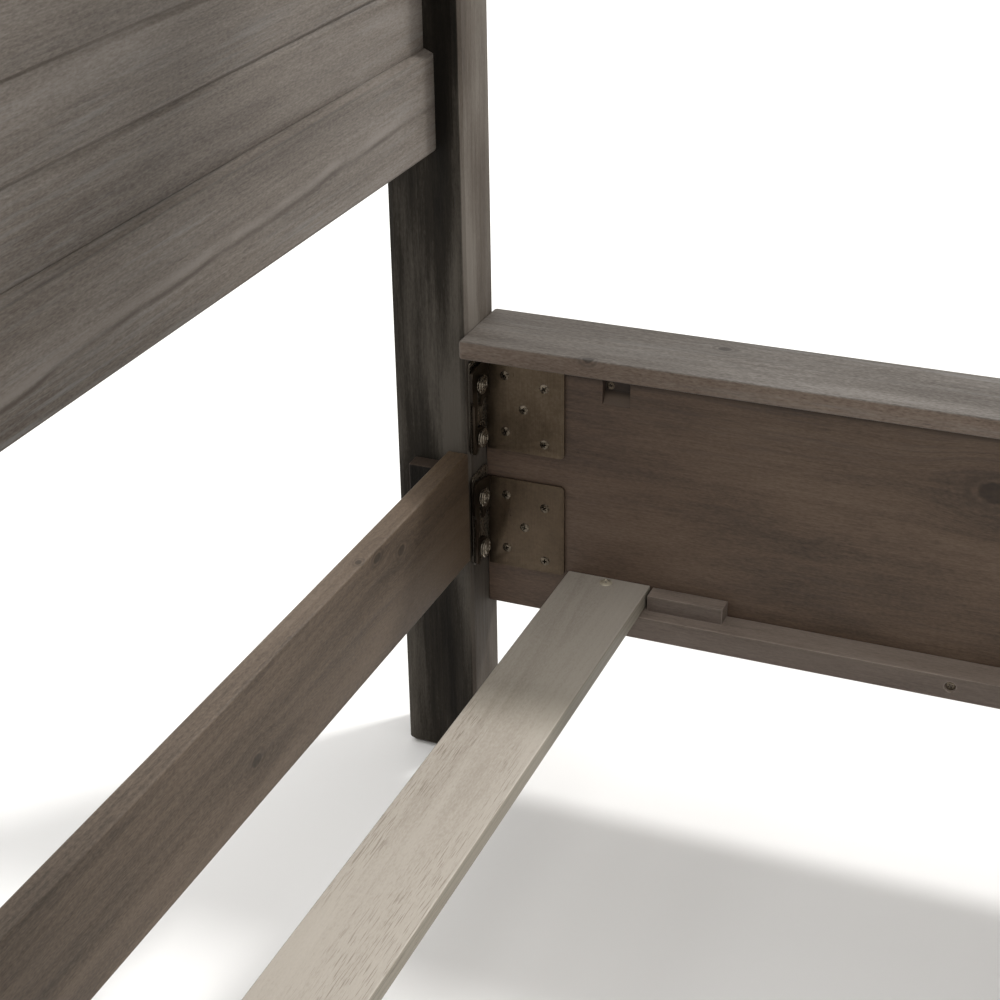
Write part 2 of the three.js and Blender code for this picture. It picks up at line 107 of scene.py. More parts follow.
# ---------------------------------------------------------------- node helpers
class Shade:
    """A material's node tree, built up from short calls that give back output sockets."""

    def __init__(self, name):
        self.material = bpy.data.materials.new(name)
        self.material.use_nodes = True
        self.tree = self.material.node_tree
        self.tree.nodes.clear()

    def feed(self, socket, value):
        if isinstance(value, bpy.types.NodeSocket):
            self.tree.links.new(value, socket)
        else:
            socket.default_value = value

    def new(self, kind, settings=(), **inputs):
        made = self.tree.nodes.new(kind)
        for key, value in dict(settings).items():
            setattr(made, key, value)
        for key, value in inputs.items():
            self.feed(made.inputs[key.replace("_", " ")], value)
        return made

    def math(self, operation, *values):
        made = self.new("ShaderNodeMath", {"operation": operation})
        for socket, value in zip(made.inputs, values):
            self.feed(socket, value)
        return made.outputs[0]

    def vector(self, operation, *values):
        made = self.new("ShaderNodeVectorMath", {"operation": operation})
        for socket, value in zip(made.inputs, values):
            self.feed(socket, value)
        return made.outputs["Value" if operation in ("LENGTH", "DOT_PRODUCT") else "Vector"]

    def range(self, value, low, high, to_low=0.0, to_high=1.0, smooth=False):
        kind = "SMOOTHSTEP" if smooth else "LINEAR"
        made = self.new("ShaderNodeMapRange", {"interpolation_type": kind})
        for key, number in zip(("Value", "From Min", "From Max", "To Min", "To Max"),
                               (value, low, high, to_low, to_high)):
            self.feed(made.inputs[key], number)
        return made.outputs[0]

    def noise(self, where, scale, detail=2.0, roughness=0.5, colour=False):
        stretched = self.vector("MULTIPLY", where, scale)
        made = self.new("ShaderNodeTexNoise", Vector=stretched, Scale=1.0, Detail=detail,
                        Roughness=roughness)
        return made.outputs["Color" if colour else 0]

    def mix(self, share, first, second, blend="MIX"):
        made = self.new("ShaderNodeMix", {"data_type": "RGBA", "blend_type": blend})
        self.feed(made.inputs[0], share)
        self.feed(made.inputs[6], first if isinstance(first, bpy.types.NodeSocket) else (*first, 1.0))
        self.feed(made.inputs[7], second if isinstance(second, bpy.types.NodeSocket) else (*second, 1.0))
        return made.outputs[2]

    def ramp(self, value, stops):
        made = self.new("ShaderNodeValToRGB", Fac=value)
        elements = made.color_ramp.elements
        while len(elements) < len(stops):
            elements.new(0.5)
        for element, (position, colour) in zip(elements, stops):
            element.position = position
            element.color = (*colour, 1.0)
        return made.outputs[0]

    def band(self, where, axis, line, reach):
        """1 on the planes at +line and -line of an axis, falling to 0 within reach of them."""
        split = self.new("ShaderNodeSeparateXYZ", Vector=where)
        across = self.math("ABSOLUTE", split.outputs["XYZ".index(axis)])
        off = self.math("ABSOLUTE", self.math("SUBTRACT", across, line))
        return self.range(off, reach, 0.0, smooth=True)

    def sum(self, base, *terms):
        """base plus each (value, weight), where a value of 0.5 adds nothing."""
        total = base
        for value, weight in terms:
            centred = self.math("SUBTRACT", value, 0.5)
            total = self.math("MULTIPLY_ADD", centred, weight, total)
        return total

    def finish(self, colour, roughness, height, depth, strength, metallic=0.0, specular=0.5):
        bump = self.new("ShaderNodeBump", Height=height, Strength=strength, Distance=depth)
        shader = self.new("ShaderNodeBsdfPrincipled", Base_Color=colour, Roughness=roughness,
                          Metallic=metallic, Normal=bump.outputs[0])
        shader.inputs["Specular IOR Level"].default_value = specular
        output = self.new("ShaderNodeOutputMaterial")
        self.tree.links.new(shader.outputs[0], output.inputs[0])
        return self.material


GRAIN_ORDER = {"X": (0, 1, 2), "Y": (1, 2, 0), "Z": (2, 0, 1)}


def grain_frame(shade, along):
    """Object coordinates in metres with the grain's direction first."""
    where = shade.new("ShaderNodeTexCoord").outputs["Object"]
    split = shade.new("ShaderNodeSeparateXYZ", Vector=where)
    joined = shade.new("ShaderNodeCombineXYZ")
    for socket, index in zip(joined.inputs, GRAIN_ORDER[along]):
        shade.tree.links.new(split.outputs[index], socket)
    return joined.outputs[0]


def in_grain(point, along):
    return tuple(point[i] for i in GRAIN_ORDER[along])


def add_knots(shade, place, along, knots):
    """Bends the grain round each knot of (point, radius) and gives masks of all hearts and rims."""
    heart_total, rim_total = 0.0, 0.0
    for point, radius in knots:
        centre = in_grain(point, along)
        offset = shade.vector("SUBTRACT", place, centre)
        squeezed = shade.vector("MULTIPLY", offset, (0.62, 1.0, 1.0))
        wobble = shade.noise(place, (160.0, 160.0, 160.0), 2.0)
        distance = shade.vector("LENGTH", squeezed)
        distance = shade.math("MULTIPLY_ADD", shade.math("SUBTRACT", wobble, 0.5), radius * 0.35, distance)
        heart = shade.range(distance, radius, radius * 0.72, smooth=True)
        rim = shade.math("MULTIPLY", shade.range(distance, radius * 1.8, radius * 1.35, smooth=True),
                         shade.range(distance, radius * 1.05, radius * 1.35, smooth=True))
        pull = shade.range(distance, radius * 5.0, 0.0, 0.0, 0.75, smooth=True)
        bend = shade.vector("MULTIPLY", offset, (0.0, -1.0, -1.0))
        scaled = shade.new("ShaderNodeVectorMath", {"operation": "SCALE"}, Vector=bend, Scale=pull)
        place = shade.vector("ADD", place, scaled.outputs[0])
        heart_total = shade.math("MAXIMUM", heart_total, heart)
        rim_total = shade.math("MAXIMUM", rim_total, rim)
    return place, heart_total, rim_total


# ---------------------------------------------------------------- layers of a material
def paint_shade_in_bands(shade, colour, where, bands):
    """Paints shade: multiplies the colour by gain in each band of (axis, line, reach, gain)."""
    for axis, line, reach, gain in bands:
        colour = shade.mix(shade.band(where, axis, line, reach), colour, gain, "MULTIPLY")
    return colour


def draw_lines(shade, colour, where, streak, lines, dark):
    """Dark lines of (axis, line, reach, depth), broken up by the streaks."""
    ink = tuple(c * 0.4 for c in dark)
    for axis, line, reach, depth in lines:
        share = shade.math("MULTIPLY", shade.band(where, axis, line, reach),
                           shade.range(streak, 0.3, 0.6, 1.0, 0.4))
        colour = shade.mix(shade.math("MULTIPLY", share, depth), colour, ink)
    return colour


def late_wood(shade, place):
    """The dark side of each year's ring, from 0 to 1."""
    field = shade.noise(place, (0.30, 9.0, 9.0), 1.0)
    ring = shade.math("FRACT", shade.math("MULTIPLY", field, 34.0))
    return shade.math("MULTIPLY", shade.range(ring, 0.1, 0.85, smooth=True),
                      shade.range(ring, 1.0, 0.88, smooth=True))


def add_strokes(shade, tone, where, place, band):
    """Light, dry brush strokes in patches of a band of (axis, line, reach)."""
    strokes = shade.noise(place, (5.0, 420.0, 420.0), 4.0, 0.7)
    patch = shade.noise(place, (7.0, 16.0, 16.0), 2.0)
    share = shade.math("MULTIPLY", shade.band(where, *band),
                       shade.range(patch, 0.40, 0.62, 0.25, 1.0, smooth=True))
    share = shade.math("MULTIPLY", share, shade.range(strokes, 0.35, 0.60, 0.35, 1.0))
    return shade.math("MULTIPLY_ADD", share, 0.42, tone)


def colour_sides(shade, colour, tone, normal, along, tones):
    """Other colours on the sides that look along Y, or along X where the grain is along Y."""
    dark, middle, light = tones
    aside = shade.ramp(tone, ((0.12, dark), (0.46, middle), (0.95, light)))
    across = (1.0, 0.0, 0.0) if along == "Y" else (0.0, 1.0, 0.0)
    facing = shade.math("ABSOLUTE", shade.vector("DOT_PRODUCT", normal, across))
    return shade.mix(shade.range(facing, 0.55, 0.9, smooth=True), colour, aside)


def brush_grey(shade, colour, place, grey, amount):
    """Grey brushed along the grain in patches."""
    brushed = shade.noise(place, (9.0, 260.0, 260.0), 4.0, 0.7)
    patch = shade.noise(place, (1.8, 11.0, 11.0), 3.0)
    share = shade.math("MULTIPLY", shade.range(brushed, 0.46, 0.66, smooth=True),
                       shade.range(patch, 0.40, 0.60, 0.10, 1.0, smooth=True))
    return shade.mix(shade.math("MULTIPLY", share, amount), colour, grey)


def colour_chamfer(shade, colour, normal, tint):
    """Another colour where a face slopes upward."""
    rising = shade.vector("DOT_PRODUCT", normal, (0.0, 0.0, 1.0))
    sloped = shade.math("MULTIPLY", shade.range(rising, 0.45, 0.60), shade.range(rising, 0.90, 0.80))
    return shade.mix(shade.math("MULTIPLY", sloped, 0.8), colour, tint)


def add_ridge(shade, colour, where, ridge, dark, light):
    """A wavy light line with a dark one under it."""
    slope, level = ridge
    height = shade.vector("DOT_PRODUCT", where, (0.0, -slope, 1.0))
    wave = shade.noise(where, (0.0, 6.0, 0.0), 2.0)
    height = shade.math("MULTIPLY_ADD", shade.math("SUBTRACT", wave, 0.5), 0.016, height)
    strength = shade.range(shade.noise(where, (0.0, 11.0, 0.0), 3.0), 0.35, 0.6, 0.25, 1.0, smooth=True)
    for offset, reach, weight, tone in ((0.003, 0.0055, 0.75, light), (-0.0025, 0.003, 0.85, dark)):
        off = shade.math("ABSOLUTE", shade.math("SUBTRACT", height, level + offset))
        share = shade.math("MULTIPLY", shade.range(off, reach, 0.0, smooth=True), strength)
        colour = shade.mix(shade.math("MULTIPLY", share, weight), colour, tone)
    return colour


def darken_end_grain(shade, colour, normal, along, dark):
    axis = tuple(1.0 if letter == along else 0.0 for letter in "XYZ")
    end_grain = shade.range(shade.math("ABSOLUTE", shade.vector("DOT_PRODUCT", normal, axis)), 0.75, 0.95)
    return shade.mix(shade.math("MULTIPLY", end_grain, 0.45), colour, dark)


def add_pores(shade, colour, height, place, amount, dark):
    """Crowds of short dark dashes, which are also cut into the height."""
    dash = shade.noise(place, (42.0, 1050.0, 1050.0), 1.0)
    crowd = shade.range(shade.noise(place, (4.0, 24.0, 24.0), 3.0), 0.46, 0.60, smooth=True)
    mark = shade.math("MULTIPLY", shade.range(dash, 0.56, 0.66, smooth=True), crowd)
    colour = shade.mix(shade.math("MULTIPLY", mark, amount), colour, dark)
    return colour, shade.math("MULTIPLY_ADD", mark, -0.5, height)


def lighten_worn_lit_edges(shade, colour, blotch, amount, light):
    """Lighter wood along the edges, where they are worn, with a painted highlight on them as well."""
    soft = shade.new("ShaderNodeBevel", {"samples": 4}, Radius=2.2 * MM).outputs[0]
    true = shade.new("ShaderNodeNewGeometry").outputs["Normal"]
    edge = shade.range(shade.vector("DOT_PRODUCT", soft, true), 0.975, 0.82, smooth=True)
    worn_and_lit_edge = shade.math("MULTIPLY", edge, shade.range(blotch, 0.38, 0.60, 0.25, 1.0))
    return shade.mix(shade.math("MULTIPLY", worn_and_lit_edge, amount), colour, tuple(c * 1.3 for c in light))


def colour_knots(shade, colour, heart, rim, dark):
    colour = shade.mix(shade.math("MULTIPLY", rim, 0.5), colour, dark)
    return shade.mix(shade.math("MULTIPLY", heart, 0.72), colour, tuple(c * 0.5 for c in dark))


WOOD_RELIEF = 0.6 * MM


def wood(name, along, tones, rings=0.06, streaks=0.8, fibres=0.55, specks=0.6, blotches=1.0, pores=0.0,
         edge_wear_and_highlight=0.35, patches=(2.6, 18.0, 18.0), wander=0.012, first_painted_shading=(), roughness=0.62, specular=0.35,
         bump=0.5, knots=(), faces=None, grey=None, painted_shading=(), lines=(), rub=None, chamfer=None, ridge=None):
    """Stained or bare wood, with colours in linear light.

    tones are its dark, middle and light colours, and faces the same for the sides in colour_sides.
    rings, streaks, fibres, specks, blotches and pores are how much each of them shows, and so is the lighter
    edge, worn and with a painted highlight.
    The layers above say what knots, grey, rub, chamfer, ridge, lines and the two sets of painted shade hold.
    """
    shade = Shade(name)
    dark, middle, light = tones
    where = shade.new("ShaderNodeTexCoord").outputs["Object"]
    normal = shade.new("ShaderNodeTexCoord").outputs["Normal"]
    place = grain_frame(shade, along)
    if knots:
        place, heart, rim = add_knots(shade, place, along, knots)
    drift = shade.vector("SUBTRACT", shade.noise(place, (1.3, 5.0, 5.0), 1.0, colour=True), (0.5, 0.5, 0.5))
    place = shade.vector("ADD", place, shade.vector("MULTIPLY", drift, (0.0, wander, wander)))

    late = late_wood(shade, place)
    streak = shade.noise(place, (2.8, 46.0, 46.0), 6.0, 0.62)
    fibre = shade.noise(place, (48.0, 700.0, 700.0), 2.0, 0.6)
    speck = shade.noise(place, (260.0, 850.0, 850.0), 1.0)
    blotch = shade.noise(place, patches, 3.0, 0.55)
    tone = shade.sum(0.5, (streak, streaks), (fibre, fibres), (speck, specks), (blotch, blotches))
    tone = shade.math("MULTIPLY_ADD", late, -rings, tone)
    if rub:
        tone = add_strokes(shade, tone, where, place, rub)
    colour = shade.ramp(tone, ((0.12, dark), (0.48, middle), (0.86, light)))
    height = shade.sum(0.5, (streak, 0.35), (fibre, 0.6), (speck, 0.3))
    height = shade.math("MULTIPLY_ADD", late, -0.18, height)

    # Painted shade in bands, under the other layers.
    colour = paint_shade_in_bands(shade, colour, where, first_painted_shading)
    if faces:
        colour = colour_sides(shade, colour, tone, normal, along, faces)
    if grey:
        colour = brush_grey(shade, colour, place, *grey)
    if chamfer:
        colour = colour_chamfer(shade, colour, normal, chamfer)
    if ridge:
        colour = add_ridge(shade, colour, where, ridge, dark, light)
    colour = darken_end_grain(shade, colour, normal, along, dark)
    if pores:
        colour, height = add_pores(shade, colour, height, place, pores, dark)
    colour = lighten_worn_lit_edges(shade, colour, blotch, edge_wear_and_highlight, light)
    if knots:
        colour = colour_knots(shade, colour, heart, rim, dark)
        height = shade.math("MULTIPLY_ADD", heart, 0.25, height)
    # Painted shade and shadow in bands, over all the other layers.
    colour = paint_shade_in_bands(shade, colour, where, painted_shading)
    colour = draw_lines(shade, colour, where, streak, lines, dark)
    matt = shade.sum(roughness, (fibre, 0.25), (streak, 0.2))
    return shade.finish(colour, matt, height, WOOD_RELIEF, bump, specular=specular)


# ---------------------------------------------------------------- colours, in linear light
WEATHERED = ((0.057, 0.044, 0.035), (0.119, 0.100, 0.083), (0.186, 0.165, 0.146))
WEATHERED_GREY = ((0.185, 0.182, 0.176), 0.55)
CAP_TOP = ((0.060, 0.049, 0.040), (0.118, 0.104, 0.091), (0.200, 0.184, 0.168))
CHAMFER_GREY = (0.142, 0.151, 0.148)
POST_END = ((0.050, 0.040, 0.032), (0.082, 0.068, 0.055), (0.130, 0.114, 0.097))
# The posts' sides that look along Y are far darker than their faces along X: painted shade.
POST_SHADED_SIDE = ((0.0060, 0.0048, 0.0034), (0.0165, 0.0135, 0.0100), (0.066, 0.058, 0.048))
CAP_EDGE = ((0.055, 0.039, 0.028), (0.136, 0.098, 0.074), (0.205, 0.164, 0.131))
BROWN = ((0.048, 0.036, 0.026), (0.112, 0.084, 0.062), (0.160, 0.127, 0.099))
RAIL_BROWN = ((0.046, 0.032, 0.023), (0.107, 0.072, 0.049), (0.158, 0.114, 0.081))
# The ledger's top is much lighter than its faces along Y: painted light on the top.
LEDGER_LIT_TOP = ((0.120, 0.095, 0.078), (0.255, 0.208, 0.174), (0.345, 0.290, 0.248))
LEDGER_FACE = ((0.055, 0.042, 0.034), (0.108, 0.084, 0.069), (0.160, 0.128, 0.107))
CLEAT_TOP = ((0.020, 0.015, 0.011), (0.046, 0.033, 0.025), (0.075, 0.057, 0.044))
# The cleat's faces along Y are near black: painted shade in the corner behind the stretcher.
CLEAT_FACE_SHADOW = ((0.003, 0.0025, 0.002), (0.007, 0.006, 0.005), (0.016, 0.014, 0.012))
BARE = ((0.185, 0.153, 0.119), (0.408, 0.371, 0.322), (0.505, 0.470, 0.418))
BARE_SIDE = ((0.120, 0.102, 0.076), (0.245, 0.222, 0.180), (0.345, 0.316, 0.262))

# ---------------------------------------------------------------- metals
SCRATCH = 0.25
METAL_RELIEF = 0.12 * MM


def metal(name, deep, base, bright, roughness, metallic, painted_darkening=(), specular=0.5):
    """Worn metal, darkened with painted shade in bands of (axis, line, reach, gain)."""
    shade = Shade(name)
    place = shade.new("ShaderNodeTexCoord").outputs["Object"]
    cloud = shade.noise(place, (38.0, 38.0, 38.0), 5.0, 0.62)
    speck = shade.noise(place, (420.0, 420.0, 420.0), 2.0, 0.6)
    brushed = shade.noise(place, (900.0, 900.0, 40.0), 2.0)
    tone = shade.sum(0.5, (cloud, 0.6), (speck, 0.35), (brushed, SCRATCH))
    colour = shade.ramp(tone, ((0.15, deep), (0.5, base), (0.88, bright)))
    colour = paint_shade_in_bands(shade, colour, place, painted_darkening)
    matt = shade.sum(roughness, (cloud, 0.35), (speck, 0.15), (brushed, SCRATCH))
    height = shade.sum(0.5, (speck, 0.5), (brushed, SCRATCH))
    return shade.finish(colour, matt, height, METAL_RELIEF, 0.35, metallic=metallic, specular=specular)


# Painted shade on the metal: the hook plates darker near the post, along their front edges and on the lower
# plate, and the stud plates darker along one edge.
low_plate = sum(side.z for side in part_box("hook_plate_head_wall_low")) / 2
PLATE_PAINTED_SHADE = (
    ("X", abs(corner.x), 0.017, (0.16, 0.15, 0.14)),
    ("Y", abs(corner.y), 0.003, (0.4, 0.38, 0.36)),
    ("Z", low_plate, 0.09, (0.80, 0.77, 0.76)),
)
STUD_PAINTED_SHADE = (("Y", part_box("stud_plate_head_wall_low")[0].y, 0.0035, (0.12, 0.11, 0.10)),)
BRONZE = metal("bronze_plate", (0.057, 0.042, 0.027), (0.114, 0.084, 0.055), (0.190, 0.149, 0.104),
               0.38, 0.6, painted_darkening=PLATE_PAINTED_SHADE, specular=0.25)
STUD_BRONZE = metal("bronze_stud", (0.100, 0.082, 0.060), (0.215, 0.184, 0.142), (0.38, 0.34, 0.28),
                    0.26, 0.8, painted_darkening=STUD_PAINTED_SHADE)
SCREW_STEEL = metal("screw_steel", (0.060, 0.048, 0.034), (0.130, 0.106, 0.078), (0.26, 0.225, 0.180),
                    0.24, 0.85)
BRASS = metal("brass_screw", (0.40, 0.35, 0.26), (0.62, 0.57, 0.45), (0.80, 0.76, 0.64), 0.42, 0.5)

# ---------------------------------------------------------------- knots, lines and painted shade near the corner
rail_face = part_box("lower_side_rail_wall")[0].y
cap_foot, cap_top = (side.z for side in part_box("lower_rail_cap_wall"))
stretcher_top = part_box("head_stretcher")[1].z
CAP_KNOTS = (
    (Vector((corner.x + 0.2095, corner.y + 0.0435, cap_top)), 0.0042),
    (Vector((corner.x + 0.113, corner.y - 0.0145, cap_top - 0.001)), 0.0036),
)
STRETCHER_KNOTS = (
    (Vector((corner.x, corner.y - 0.181, 0.302)), 0.0044),
    (Vector((corner.x, corner.y - 0.138, 0.287)), 0.0048),
    (Vector((corner.x, corner.y - 0.384, 0.244)), 0.0052),
    (Vector((corner.x - 0.004, corner.y - 0.205, stretcher_top)), 0.0028),
)
RAIL_KNOTS = ((Vector((corner.x + 0.437, rail_face, 0.332)), 0.0110),)

head_rail_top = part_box("lower_head_bottom_rail")[1].z
# The upper dark line on the head rail, at its top edge, is a painted shadow under the panel; the lower one is
# a plain dark line.
HEAD_RAIL_LINE_AND_SHADOW = (("Z", head_rail_top - 0.0038, 0.0014, 0.8), ("Z", head_rail_top + 0.0002, 0.0010, 0.85))
RIDGE_SLOPE = 0.0217
HEAD_RAIL_RIDGE = (RIDGE_SLOPE, 0.601 - RIDGE_SLOPE * (corner.y - 0.582))
post_x = abs(corner.x)
post_y = abs(corner.y)
POCKET_DEPTH = 0.009
# Painted shade on the side rails: darker near the posts, a painted shadow in two bands under the cap, and
# darker in the backs of the pockets.
RAIL_PAINTED_SHADE = (
    ("X", post_x, 0.33, (0.82, 0.79, 0.79)),
    ("Z", cap_foot - 0.010, 0.017, (0.34, 0.32, 0.30)),
    ("Z", cap_foot - 0.0240, 0.0065, (0.34, 0.32, 0.30)),
    ("Y", rail_face + POCKET_DEPTH, 0.005, (0.34, 0.32, 0.31)),
)
slat_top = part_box("lower_slat_1")[1].z
SLAT_LINES = (("Z", slat_top - 0.0042, 0.0011, 0.45), ("Z", slat_top - 0.0098, 0.0014, 0.35))
# Painted shadow in two bands across the slats, the same on every slat.
SLAT_PAINTED_SHADOW = (("Y", 0.358, 0.055, (0.88, 0.88, 0.86)), ("Y", 0.400, 0.12, (0.90, 0.90, 0.89)))

# ---------------------------------------------------------------- woods
weathered = {a: wood("weathered_" + a, a, WEATHERED, grey=WEATHERED_GREY) for a in "XYZ"}
head_rail_wood = wood(
    "weathered_head_rail", "Y", WEATHERED, grey=WEATHERED_GREY, chamfer=CHAMFER_GREY, lines=HEAD_RAIL_LINE_AND_SHADOW,
    ridge=HEAD_RAIL_RIDGE)
# The cap is painted darker near the posts: painted shade.
cap_wood = wood(
    "weathered_cap", "X", CAP_TOP, faces=CAP_EDGE, grey=WEATHERED_GREY, knots=CAP_KNOTS, specks=0.9, edge_wear_and_highlight=0.9,
    painted_shading=(("X", post_x, 0.40, (0.62, 0.59, 0.56)),))
# The posts are painted darker low down, up to about 0.44 m: painted shade.
post_wood = wood(
    "dark_post", "Z", POST_END, faces=POST_SHADED_SIDE, grey=((0.048, 0.044, 0.038), 0.22), streaks=0.5,
    fibres=0.45, specks=0.3, blotches=2.4, patches=(3.4, 26.0, 26.0), edge_wear_and_highlight=0.5, roughness=0.75,
    specular=0.12, wander=0.006, first_painted_shading=(("Z", 0.20, 0.24, (0.45, 0.43, 0.41)),), bump=0.8,
    rub=("X", post_x, 0.022))
# The stretchers are painted darker and warmer near the posts: painted shade.
stretcher_wood = wood(
    "brown_stretcher", "Y", BROWN, rings=0.1, streaks=0.55, fibres=0.4, knots=STRETCHER_KNOTS, edge_wear_and_highlight=0.9,
    painted_shading=(("Y", post_y, 0.40, (0.80, 0.74, 0.66)), ("Y", post_y, 0.15, (0.80, 0.75, 0.66))))
rail_wood = wood(
    "brown_rail", "X", RAIL_BROWN, streaks=0.45, fibres=0.5, specks=0.45, blotches=0.9,
    patches=(5.0, 16.0, 16.0), knots=RAIL_KNOTS, bump=0.3, chamfer=(0.165, 0.128, 0.098),
    grey=((0.056, 0.043, 0.039), 0.4), painted_shading=RAIL_PAINTED_SHADE)
ledger_wood = wood("brown_ledger", "X", LEDGER_LIT_TOP, faces=LEDGER_FACE, streaks=0.5, specks=0.4, bump=0.3)
cleat_wood = wood("dark_cleat", "Z", CLEAT_TOP, faces=CLEAT_FACE_SHADOW, roughness=0.75, specular=0.08)
bare = wood(
    "bare_slat", "Y", BARE, faces=BARE_SIDE, rings=0.04, streaks=0.24, fibres=0.15, specks=0.2, blotches=0.4,
    pores=0.6, wander=0.004, edge_wear_and_highlight=0.2, roughness=0.6, bump=0.3, lines=SLAT_LINES, painted_shading=SLAT_PAINTED_SHADOW)


def paint(node, material):
    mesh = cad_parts[node].data
    mesh.materials.clear()
    mesh.materials.append(material)


# The first row that a node's name starts with gives its material.
LOOKS = (
    ("post_", post_wood),
    (("head_stretcher", "foot_stretcher"), stretcher_wood),
    ("stretcher_cleat", cleat_wood),
    ("lower_head_bottom_rail", head_rail_wood),
    ("lower_rail_cap_wall", cap_wood),
    ("lower_side_rail", rail_wood),
    ("lower_slat_ledger", ledger_wood),
    (("lower_slat_", "upper_slat_"), bare),
    ("hook_plate", BRONZE),
    ("stud_plate", STUD_BRONZE),
    (("upper_side_rail", "lower_rail_cap", "guard_rail", "ladder_tread"), weathered["X"]),
    ("ladder_stile", weathered["Z"]),
    ("", weathered["Y"]),
)
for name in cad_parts:
    paint(name, next(material for start, material in LOOKS if name.startswith(start)))


# ---------------------------------------------------------------- edges of the CAD pieces
WELD_WITHIN = 0.02 * MM
FLAT_WITHIN = 1.0
EASED_FROM = 25.0

# The first row that a node's name starts with gives the width of its eased edges and their segments.
EDGES = (
    (("hook_plate", "stud_plate"), 0.3 * MM, 2),
    ("lower_slat_ledger", 0.8 * MM, 2),
    (("lower_slat_", "upper_slat_"), 0.4 * MM, 1),
    ("", 0.8 * MM, 2),
)


def ease_edges(node, width, segments):
    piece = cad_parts[node]
    weld = piece.modifiers.new("weld", "WELD")
    weld.merge_threshold = WELD_WITHIN
    flat = piece.modifiers.new("flat", "DECIMATE")
    flat.decimate_type = "DISSOLVE"
    flat.angle_limit = math.radians(FLAT_WITHIN)
    ease = piece.modifiers.new("ease", "BEVEL")
    ease.width = width
    ease.segments = segments
    ease.limit_method = "ANGLE"
    ease.angle_limit = math.radians(EASED_FROM)
    ease.harden_normals = True


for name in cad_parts:
    ease_edges(name, *next((width, segments) for start, width, segments in EDGES if name.startswith(start)))


# ---------------------------------------------------------------- screws and bolts
def lathe(name, profile, segments=32):
    """A closed solid turned about Z from (radius, height) points; the first and last are on the axis."""
    mesh = bmesh.new()
    rows = []
    for radius, height in profile:
        if radius < 1e-9:
            rows.append([mesh.verts.new((0.0, 0.0, height))])
            continue
        turns = [2 * math.pi * i / segments for i in range(segments)]
        rows.append([mesh.verts.new((radius * math.cos(t), radius * math.sin(t), height)) for t in turns])
    for lower, upper in zip(rows, rows[1:]):
        for i in range(segments):
            j = (i + 1) % segments
            if len(lower) == 1:
                mesh.faces.new((lower[0], upper[j], upper[i]))
            elif len(upper) == 1:
                mesh.faces.new((lower[i], lower[j], upper[0]))
            else:
                mesh.faces.new((lower[i], lower[j], upper[j], upper[i]))
    bmesh.ops.recalc_face_normals(mesh, faces=mesh.faces)
    data = bpy.data.meshes.new(name)
    mesh.to_mesh(data)
    mesh.free()
    return data


def cut_with(base, cutter, name):
    """base minus cutter, as a new mesh."""
    first = bpy.data.objects.new("cut_base", base)
    second = bpy.data.objects.new("cut_tool", cutter)
    for made in (first, second):
        bpy.context.scene.collection.objects.link(made)
    boolean = first.modifiers.new("cut", "BOOLEAN")
    boolean.object = second
    boolean.operation = "DIFFERENCE"
    boolean.solver = "EXACT"
    bpy.context.view_layer.update()
    result = bpy.data.meshes.new_from_object(first.evaluated_get(bpy.context.evaluated_depsgraph_get()))
    result.name = name
    for made in (first, second):
        bpy.data.objects.remove(made)
    return result


def cross_cutter(length, width, top, bottom):
    """A tapered cross, narrower at the bottom."""
    mesh = bmesh.new()
    rings = []
    for height, share in ((bottom, 0.4), (top, 1.0)):
        reach, half = length / 2 * share, width / 2 * (0.6 + 0.4 * share)
        arm = ((reach, -half), (reach, half), (half, half))
        ring = []
        for turn in range(4):
            spin = Matrix.Rotation(turn * math.pi / 2, 4, "Z")
            ring += [mesh.verts.new(spin @ Vector((x, y, height))) for x, y in arm]
        rings.append(ring)
    mesh.faces.new(rings[0][::-1])
    mesh.faces.new(rings[1])
    count = len(rings[0])
    for i in range(count):
        j = (i + 1) % count
        mesh.faces.new((rings[0][i], rings[0][j], rings[1][j], rings[1][i]))
    bmesh.ops.recalc_face_normals(mesh, faces=mesh.faces)
    data = bpy.data.meshes.new("cross_cutter")
    mesh.to_mesh(data)
    mesh.free()
    return data


def hex_cutter(radius, top, bottom):
    return lathe("hex_cutter", ((0, bottom), (radius, bottom), (radius, top), (0, top)), 6)


def wood_screw(name, radius, dome=0.0):
    """A countersunk cross-head: z is 0 at the rim, and the shank goes down."""
    profile = (
        (0, -radius * 0.9), (radius * 0.45, -radius * 0.9), (radius * 0.48, -radius * 0.62),
        (radius * 0.93, -radius * 0.12), (radius, -radius * 0.03), (radius * 0.97, radius * 0.04),
        (radius * 0.7, radius * 0.04 + dome * 0.6), (radius * 0.35, radius * 0.04 + dome * 0.93),
        (0, radius * 0.04 + dome),
    )
    cutter = cross_cutter(radius * 1.25, radius * 0.30, radius * 0.5, -radius * 0.5)
    return cut_with(lathe(name, profile, 28), cutter, name)


PLATE_SCREW = wood_screw("plate_screw", 0.0043, 0.0008)
SMALL_SCREW = wood_screw("small_screw", 0.0036)
SLAT_SCREW = wood_screw("slat_screw", 0.0058, 0.0016)
SOCKET_BOLT = cut_with(
    lathe("socket_bolt", ((0, -0.008), (0.0065, -0.008), (0.0065, -0.0006), (0.0059, 0), (0, 0)), 32),
    hex_cutter(0.0034, 0.002, -0.004), "socket_bolt")
BARREL_NUT = cut_with(
    lathe("barrel_nut", ((0, -0.002), (0.005, -0.002), (0.005, 0.0003), (0.0045, 0.0006), (0, 0.0006)), 32),
    cross_cutter(0.008, 0.0014, 0.001, -0.001), "barrel_nut")
DOME_BOLT = lathe("dome_bolt", (
    (0, -0.001), (0.0085, -0.001), (0.0085, 0.0004), (0.0078, 0.0018), (0.0058, 0.0033), (0.003, 0.0042),
    (0, 0.0045)), 36)


